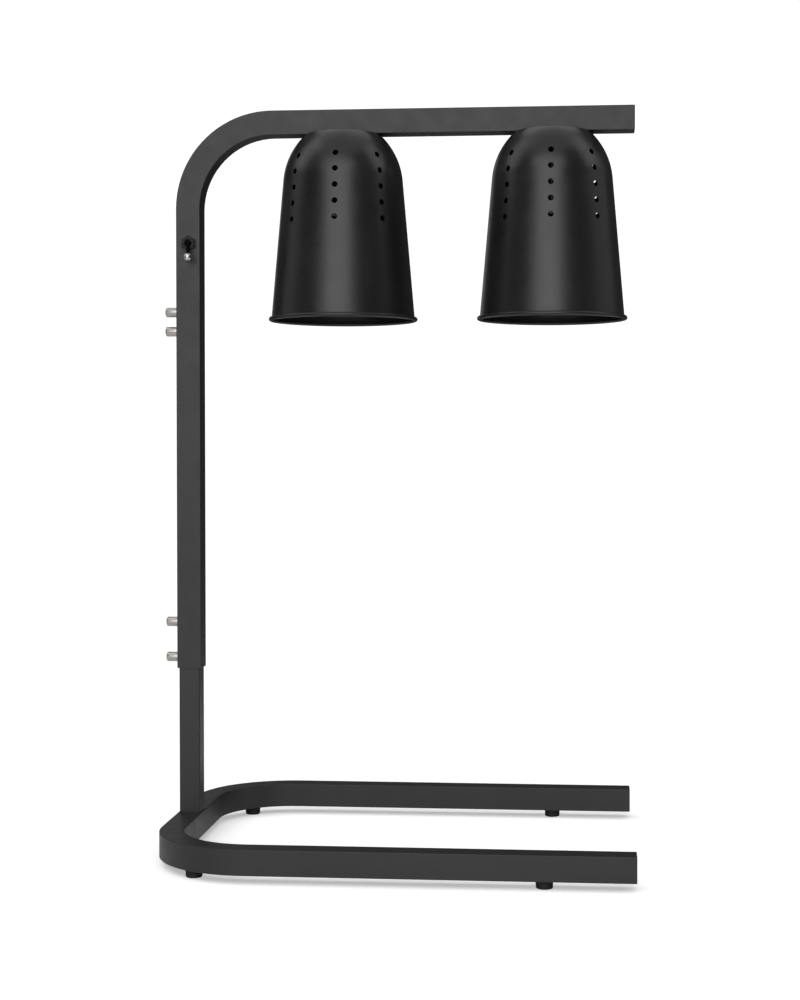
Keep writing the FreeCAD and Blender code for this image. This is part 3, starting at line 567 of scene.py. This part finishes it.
def make_bulb(index, under):
    """Reflector heat lamp: threaded metal cap, ruby glass neck, flared reflector, domed face."""
    contact = [(0, CAP_TOP), (3.5, CAP_TOP, 0.6), (4.5, CAP_TOP - 1.5, 0.5),
               (11.1, CAP_TOP - 3, 1.0), (CAP_RADIUS, CAP_TOP - 5)]
    wall = ladder(CAP_RADIUS, CAP_TOP - 5.5, CAP_END, 0.4)
    screw = thread(CAP_RADIUS, CAP_END + 1, CAP_TOP - 4.5, CAP_PITCH, CAP_THREAD_DEPTH, crest=0.1)
    cap = turned("cap", contact + wall + [(0, CAP_END)], under, 120, screw)
    piece("bulb_screw_cap_%d" % index, cap, "lamp_frame", "nickel",
          ["heat_lamp_cap_%d" % index])

    flare = bowed((NECK_RADIUS + 1, CAP_END - 20), BULB_WIDEST, 96, 20)
    brow = bowed(BULB_WIDEST, BULB_BROW, 24, 8)
    face = bowed(BULB_BROW, (0.0, BULB_BOTTOM), 100, 14)
    outer = [(CAP_RADIUS, CAP_END), (NECK_RADIUS, CAP_END - 8, 12.0)] + flare + brow[1:] + face[1:]
    inner = []
    for radius, height in [point[:2] for point in outer]:
        lift = GLASS_THICKNESS if height < BULB_BROW[1] else 0
        inner.append((max(radius - GLASS_THICKNESS, 0), height + lift))
    outline = outer + inner[::-1]
    piece("bulb_glass_%d" % index, turned("glass", outline, under, 144), "lamp_frame",
          "ruby", ["heat_lamp_bulb_%d" % index])


def make_lamps():
    for index in LAMPS:
        under = at((LAMP_X[index], 0, ARM_UNDER))
        make_shade(index)
        make_lampholder(index, under)
        make_bulb(index, under)


# ---------------------------------------------------------------- feet, plugs and clamps

FEET = ((158.9, 172.8), (158.9, -172.8), (-184.1, 155.6), (-184.1, -155.6))
FOOT_TOP = 8.4
FOOT_RADIUS = 8.7
FOOT_HOLE = 2.3
FOOT_RECESS_RADIUS = 4.6
FOOT_RECESS_TOP = 3.8
FOOT_SCREW_RADIUS = 2.1
FOOT_SCREW_HEAD = 4.0
FOOT_SCREW_THREAD = (1.6, 0.42)  # pitch and depth
CROSS_HALF_LENGTH = 1.9
CROSS_HALF_WIDTH = 0.32
CROSS_TURN = 0.6


def make_feet():
    """Moulded rubber feet: a recess for the screw head, a groove round the side and another in
    the sole."""
    side = [(FOOT_HOLE, FOOT_TOP), (FOOT_RADIUS, FOOT_TOP, 0.5), (8.5, 5.4), (8.2, 5.0, 0.3),
            (8.15, 4.5, 0.3), (8.35, 4.1), (8.1, 0, 1.4)]
    sole = [(6.6, 0), (6.2, 0.5, 0.2), (5.7, 0.5, 0.2), (5.3, 0), (FOOT_RECESS_RADIUS, 0, 0.3),
            (FOOT_RECESS_RADIUS, FOOT_RECESS_TOP), (FOOT_HOLE, FOOT_RECESS_TOP)]
    feet = [turned("foot", side + sole, at((x * MM, y * MM, 0)), 72) for x, y in FEET]
    piece("moulded_feet", joined("feet", feet), "base", "rubber", ["rubber_feet"])


def cross_cutter(spot, turn):
    """One blade of a screw head's cross recess, narrower where it is deeper."""
    bm = bmesh.new()
    blade = spot @ Matrix.Rotation(turn + CROSS_TURN, 4, "Z")
    long, wide = CROSS_HALF_LENGTH, CROSS_HALF_WIDTH
    mouth = [(-long, -wide, 1.0), (long, -wide, 1.0), (long, wide, 1.0), (-long, wide, 1.0)]
    deep = [(x * 0.6, y * 0.7, 2.9) for x, y, _ in mouth]
    skin(bm, [ring_of(bm, mouth, blade), ring_of(bm, deep, blade)])
    return mesh_from(bm, "blade")


def make_foot_screws():
    """Cross-head screws that hold the feet, their heads up in the recesses."""
    pitch, depth = FOOT_SCREW_THREAD
    head = [(0, 1.4), (2.4, 1.4, 0.6), (FOOT_SCREW_HEAD, 2.7, 0.5),
            (FOOT_SCREW_HEAD, FOOT_RECESS_TOP), (FOOT_SCREW_RADIUS, FOOT_RECESS_TOP)]
    shank = ladder(FOOT_SCREW_RADIUS, 4.0, 17.6, 0.2)
    groove = thread(FOOT_SCREW_RADIUS, 4.4, 17.4, pitch, depth, crest=0.6)
    screws = []
    for x, y in FEET:
        spot = at((x * MM, y * MM, 0))
        screw = turned("screw", head + shank + [(1.3, 18.8), (0, 18.8)], spot, 48, groove)
        for turn in (0, math.pi / 2):
            screw = combined(screw, cross_cutter(spot, turn))
        screws.append(screw)
    piece("foot_screw_set", joined("screws", screws), "base", "zinc", ["foot_screws"])


PLUG_FLANGE = 1.2
PLUG_INSERT = 14
PLUG_WALL = 1.7
LID_RADIUS = 11.0
LID_BODY_RADIUS = 9.4
LID_WALL_RADIUS = 7.5
LID_HEIGHT = 6.1
LID_SLOT_HALF = (4.0, 0.5)


def plug_levels():
    """A square end plug: the insert, then a flange as wide as the tube with a soft edge."""
    half = TUBE / 2 - 0.05
    insert = half - PLUG_WALL
    return [(insert, TUBE_CORNER, -PLUG_INSERT), (insert, TUBE_CORNER, -0.02),
            (half, TUBE_CORNER, 0), (half, TUBE_CORNER, PLUG_FLANGE * 0.45),
            (half - 0.15, TUBE_CORNER, PLUG_FLANGE * 0.75),
            (half - 0.5, TUBE_CORNER, PLUG_FLANGE * 0.95), (half - 0.9, TUBE_CORNER, PLUG_FLANGE)]


def make_plugs():
    """Moulded caps in the tube ends, their faces a little rounded off."""
    turn = at((0, 0, 0), (1, 0, 0))
    for node, name, body in (("base_end_plugs", "base_tube_caps", "base"),
                             ("arm_end_plug", "arm_tube_cap", "lamp_frame")):
        low, high = corners(node)
        half = TUBE / 2 * MM
        sides = [low.y + half] if node == "arm_end_plug" else [low.y + half, high.y - half]
        bm = bmesh.new()
        for side in sides:
            face = (high.x - PLUG_FLANGE * MM, side, (low.z + high.z) / 2)
            square_stack(bm, plug_levels(), Matrix.Translation(face) @ turn)
        piece(name, mesh_from(bm, name), body, "cap_plastic", [node])


def make_lid():
    """The slotted lid that closes the hole under the mast's foot."""
    low, high = corners("base_access_cover")
    spot = Matrix.Translation(((low.x + high.x) / 2, 0, low.z))
    outline = [(0, 0.1), (9.2, 0.1, 0.4), (10.9, 0.7, 0.5), (LID_RADIUS, 1.15), (9.35, 1.2),
               (LID_BODY_RADIUS, LID_HEIGHT, 0.4), (LID_WALL_RADIUS, LID_HEIGHT, 0.3),
               (LID_WALL_RADIUS, 1.6), (0, 1.6)]
    lid = turned("lid", outline, spot, 96)
    slot = bmesh.new()
    long, wide = LID_SLOT_HALF
    blade = [(-long, -wide), (long, -wide), (long, wide), (-long, wide)]
    skin(slot, [ring_of(slot, [p + (h,) for p in blade], spot) for h in (-1.0, 0.8)])
    piece("access_lid", combined(lid, mesh_from(slot, "slot")), "base", "plastic",
          ["base_access_cover"])


CLAMPS = (1, 2, 3, 4)
CLAMP_LENGTH = 12.0
CLAMP_RADIUS = 3.0
CLAMP_THREAD = (1.0, 0.5)  # pitch and depth
KEY_FLATS = 3.0
KEY_DEPTH = 3.5
BOSS_RADIUS = 5.1
BOSS_BORE = 3.05
BOSS_LENGTH = 13.6


def make_clamps():
    """Stainless bosses on the mast's face away from the lamps, a socket set screw in each."""
    mast_x = corners("upper_frame_tube")[0].x
    pitch, depth = CLAMP_THREAD
    boss = [(BOSS_RADIUS, 0), (BOSS_RADIUS, 12.2), (4.85, 12.9, 0.3), (4.4, 13.45, 0.3),
            (3.9, BOSS_LENGTH, 0.2), (3.5, BOSS_LENGTH)] + ladder(BOSS_BORE, 12.9, 0.0, 0.25)
    shank = ladder(CLAMP_RADIUS, 0.75, CLAMP_LENGTH - 0.5, 0.14)
    outline = [(0, 0), (2.2, 0, 0.15)] + shank + [(2.5, CLAMP_LENGTH, 0.1), (0, CLAMP_LENGTH)]
    groove = thread(CLAMP_RADIUS, 0.8, CLAMP_LENGTH - 0.55, pitch, depth, crest=0.2)
    bosses = []
    for i in CLAMPS:
        low, high = corners("clamp_screw_%d" % i)
        level = (low.z + high.z) / 2
        bosses.append(turned("boss", boss, at((mast_x, 0, level), (-1, 0, 0)), 80))

        screw_at = at((high.x, 0, level), (-1, 0, 0))
        screw = turned("set_screw", outline, screw_at, 64, groove)
        key = prism("key", 6, KEY_FLATS, CLAMP_LENGTH - KEY_DEPTH, CLAMP_LENGTH + 1, screw_at)
        piece("set_screw_%d" % i, combined(screw, key), "clamp_screw_body_%d" % i, "stainless",
              ["clamp_screw_%d" % i])
    piece("boss_set", joined("bosses", bosses), "lamp_frame", "stainless",
          ["clamp_bosses"])


# ---------------------------------------------------------------- switch and cord inlet

WASHER_HOLE = 6.05
WASHER_RADIUS = 8.2
WASHER_THICKNESS = 0.6
NUT_FLATS = 14.3
NUT_HOLE = 6.0
NUT_CORNER_RADIUS = 8.35
NUT_FRONT = 3.6
BALL_RADIUS = 4.25
BALL_MIDDLE_RADIUS = 4.23
BALL_FOOT = 3.87
PIVOT_BALL_RADIUS = 2.9
LEVER_WAIST = 1.8
INLET_BORE = 3.2
INLET_RADIUS = 4.75
INLET_FLANGE_RADIUS = 6.75
INLET_FLANGE = 1.8


def make_switch():
    """The toggle switch's dress washer and its hexagon nut with chamfered corners."""
    washer_low, washer_high = corners("switch_washer")
    middle = (washer_low + washer_high) / 2
    front = at((middle.x, washer_high.y, middle.z), (0, -1, 0))
    ring = [(WASHER_HOLE, 0), (WASHER_RADIUS, 0), (WASHER_RADIUS, WASHER_THICKNESS, 0.25),
            (WASHER_HOLE, WASHER_THICKNESS, 0.15)]
    piece("dress_washer", turned("washer", ring, front, 96), "lamp_frame", "plastic",
          ["switch_washer"])

    nut = prism("nut", 6, NUT_FLATS, WASHER_THICKNESS, NUT_FRONT, front)
    outline = [(0, 0.55), (7.6, 0.55), (NUT_CORNER_RADIUS, 0.95), (NUT_CORNER_RADIUS, 2.9),
               (7.3, NUT_FRONT, 0.5), (0, NUT_FRONT)]
    envelope = turned("envelope", outline, front, 120)
    bore = [(0, -1), (NUT_HOLE, -1), (NUT_HOLE, 3.2), (6.5, 3.7), (6.5, 5), (0, 5)]
    hole = turned("hole", bore, front, 96)
    nut = combined(combined(nut, envelope, "INTERSECT"), hole)
    piece("dress_nut", nut, "lamp_frame", "nut_plastic", ["switch_nut"], sharp=30)


def make_lever():
    """Bat lever in its rest throw, and the plated ball on its end."""
    pivot = centre("switch_pivot_pin")
    ball = centre("switch_lever_ball")
    along = (ball - pivot).normalized()
    spot = at(pivot, along)
    reach = (ball - pivot).length / MM
    widest = (BALL_MIDDLE_RADIUS, reach + 0.4)
    knob = (bowed((0, reach + BALL_RADIUS), widest, BALL_RADIUS, 12)
            + bowed(widest, (1.75, reach - BALL_FOOT), BALL_RADIUS, 10)
            + [(0, reach - BALL_FOOT)])
    piece("lever_ball", turned("ball", knob, spot, 72), "switch_toggle", "chrome",
          ["switch_lever_ball"])

    root = bowed((0.0, -PIVOT_BALL_RADIUS), (PIVOT_BALL_RADIUS, 0.0), PIVOT_BALL_RADIUS, 8)
    bat = root + [(2.75, 0.9), (2.4, 1.7, 0.4), (LEVER_WAIST, 2.6, 0.8), (LEVER_WAIST, 6.0),
                  (1.95, reach - 5.4, 0.6), (2.1, reach - 4.4, 0.2), (1.85, reach - 3.9),
                  (0, reach - 3.9)]
    # The lever's near-black finish is partly its own black plastic and partly painted shade on its
    # neck.
    piece("bat_lever", turned("bat", bat, spot, 64), "switch_toggle", "bat_black_painted_shade",
          ["switch_lever"])


def make_inlet():
    """Moulded bush for the power cord, on the mast's +Y face: rounded flange, flared throat."""
    low, high = corners("cord_inlet_bush")
    middle = (low + high) / 2
    spot = at((middle.x, high.y - INLET_FLANGE * MM, middle.z), (0, 1, 0))
    outline = [(INLET_BORE, -4), (4.6, -4, 0.4), (INLET_RADIUS, 0), (INLET_FLANGE_RADIUS, 0, 0.2),
               (INLET_FLANGE_RADIUS, 1.1, 0.6), (5.6, 1.78, 0.5), (4.2, INLET_FLANGE, 0.9),
               (INLET_BORE, 0.6, 1.2)]
    piece("inlet_bush", turned("bush", outline, spot, 80), "lamp_frame", "plastic",
          ["cord_inlet_bush"])


# ---------------------------------------------------------------- CAD nodes that stay

FINISH = {
    "powder": ("base_frame", "mast_inner_tube", "upper_frame_tube"),
    "plastic": ("mast_inner_tube_plug", "switch_case", "wire_splice"),
    "nut_plastic": ("switch_bushing",),
    # The pivot pin sits in the switch's slot; its near-black finish there is painted shade, not the
    # pin's own metal.
    "bat_black_painted_shade": ("switch_pivot_pin",),
    "zinc": ("mast_bolt", "mast_bolt_washer", "mast_foot_block", "shade_nipple_1", "shade_nipple_2",
             "shade_washers"),
    "nylon": ("clamp_pad_1", "clamp_pad_2", "clamp_pad_3", "clamp_pad_4"),
    "brass": ("screw_shell_1", "screw_shell_2", "centre_contact_1", "centre_contact_2",
              "switch_terminal"),
    "red_sleeve": ("switched_wire_1", "switched_wire_2"),
    "white_sleeve": ("neutral_wire_1", "neutral_wire_2"),
}


def finish_nodes():
    for material, names in FINISH.items():
        for name in names:
            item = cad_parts[name]
            item.data.materials.clear()
            item.data.materials.append(MATERIALS[material])


# ---------------------------------------------------------------- floor, light and camera

FLOOR_RADIUS = 1.6
FLOOR_FORWARD = 0.5
FLOOR_GLOW = 0.36
CENTRE_Z = 0.45
SUN_STRENGTH = 0.8
SUN_SPREAD = 70
SUN_TILT = (12, -4)
BACKDROP_SEEN = 1.1
BACKDROP_LIGHT = 0.05
CAMERA_LENS = 65.545
CAMERA_SENSOR = 36
CAMERA_SHIFT = (-0.0338, -0.0093)
CAMERA_PLACE = (0.20304, -1.9032, 0.41727)
CAMERA_YAW = -0.086468
CAMERA_PITCH = -0.022077


def make_floor():
    """A round pale floor with a faint glow that is seen directly but lights nothing."""
    material = Nodes("studio_floor")
    tone = material.tint(material.grain(3, 3.0), (0.90, 0.90, 0.90), (0.92, 0.92, 0.92))
    seen = material.add("ShaderNodeLightPath").outputs["Is Camera Ray"]
    material.finish(Base_Color=tone, Roughness=0.9, Specular_IOR_Level=0.1,
                    Emission_Color=(1, 1, 1, 1),
                    Emission_Strength=material.maths("MULTIPLY", seen, FLOOR_GLOW))
    bm = bmesh.new()
    bmesh.ops.create_circle(bm, cap_ends=True, segments=96, radius=FLOOR_RADIUS)
    mesh = bpy.data.meshes.new("studio_floor")
    bm.to_mesh(mesh)
    bm.free()
    floor = bpy.data.objects.new("studio_floor", mesh)
    floor.location.y = -FLOOR_FORWARD
    SCENE.collection.objects.link(floor)
    mesh.materials.append(material.material)


def softbox(name, azimuth, elevation, distance, width, height, radiance):
    """A rectangular light that faces the object; azimuth is from the front (-Y) towards +X."""
    a, e = math.radians(azimuth), math.radians(elevation)
    away = Vector((math.sin(a) * math.cos(e), -math.cos(a) * math.cos(e), math.sin(e)))
    light = bpy.data.lights.new(name, "AREA")
    light.shape = "RECTANGLE"
    light.size = width
    light.size_y = height
    light.energy = radiance * math.pi * width * height
    lamp = bpy.data.objects.new(name, light)
    lamp.location = Vector((0, 0, CENTRE_Z)) + away * distance
    lamp.rotation_euler = away.to_track_quat("Z", "Y").to_euler()
    lamp.visible_camera = False
    SCENE.collection.objects.link(lamp)


def make_softboxes():
    softbox("key_box", -4, 36, 3.4, 3.4, 1.2, 2.6)
    softbox("front_box", -4, 5, 3.6, 4.4, 1.6, 1.85)
    softbox("front_core", -3, 17, 3.5, 2.3, 1.6, 2.3)
    for side, sign in (("right", 1), ("left", -1)):
        softbox(side + "_box", 98 * sign, 16, 2.8, 2.0, 2.0, 0.42)
    for side, sign in (("right", 1), ("left", -1)):
        softbox(side + "_high_box", 88 * sign, 43, 3.0, 1.4, 1.9, 1.5)
    softbox("left_rim_box", -156, 10, 3.0, 0.8, 1.4, 0.45)
    softbox("back_box", 180, 66, 3.2, 3.2, 1.6, 1.15)


def make_sun():
    sun = bpy.data.lights.new("overhead_sun", "SUN")
    sun.energy = SUN_STRENGTH
    sun.angle = math.radians(SUN_SPREAD)
    lamp = bpy.data.objects.new("overhead_sun", sun)
    lamp.rotation_euler = (math.radians(SUN_TILT[0]), math.radians(SUN_TILT[1]), 0)
    SCENE.collection.objects.link(lamp)


def make_world():
    """A white backdrop that gives hardly any light of its own."""
    world = bpy.data.worlds.new("studio")
    world.use_nodes = True
    tree = world.node_tree
    tree.nodes.clear()
    ray = tree.nodes.new("ShaderNodeLightPath")
    mix = tree.nodes.new("ShaderNodeMixShader")
    tree.links.new(ray.outputs["Is Camera Ray"], mix.inputs[0])
    for slot, strength in ((1, BACKDROP_LIGHT), (2, BACKDROP_SEEN)):
        background = tree.nodes.new("ShaderNodeBackground")
        background.inputs["Color"].default_value = (1, 1, 1, 1)
        background.inputs["Strength"].default_value = strength
        tree.links.new(background.outputs[0], mix.inputs[slot])
    out = tree.nodes.new("ShaderNodeOutputWorld")
    tree.links.new(mix.outputs[0], out.inputs[0])
    SCENE.world = world
    SCENE.view_settings.view_transform = "Standard"
    SCENE.view_settings.look = "None"


def make_camera():
    data = bpy.data.cameras.new("camera")
    data.lens = CAMERA_LENS
    data.sensor_width = CAMERA_SENSOR
    data.shift_x, data.shift_y = CAMERA_SHIFT
    camera = bpy.data.objects.new("camera", data)
    camera.location = CAMERA_PLACE
    camera.rotation_euler = (math.pi / 2 + CAMERA_PITCH, 0, -CAMERA_YAW)
    SCENE.collection.objects.link(camera)
    SCENE.camera = camera


make_lamps()
make_feet()
make_foot_screws()
make_plugs()
make_lid()
make_clamps()
make_switch()
make_lever()
make_inlet()
finish_nodes()
make_floor()
make_softboxes()
make_sun()
make_world()
make_camera()
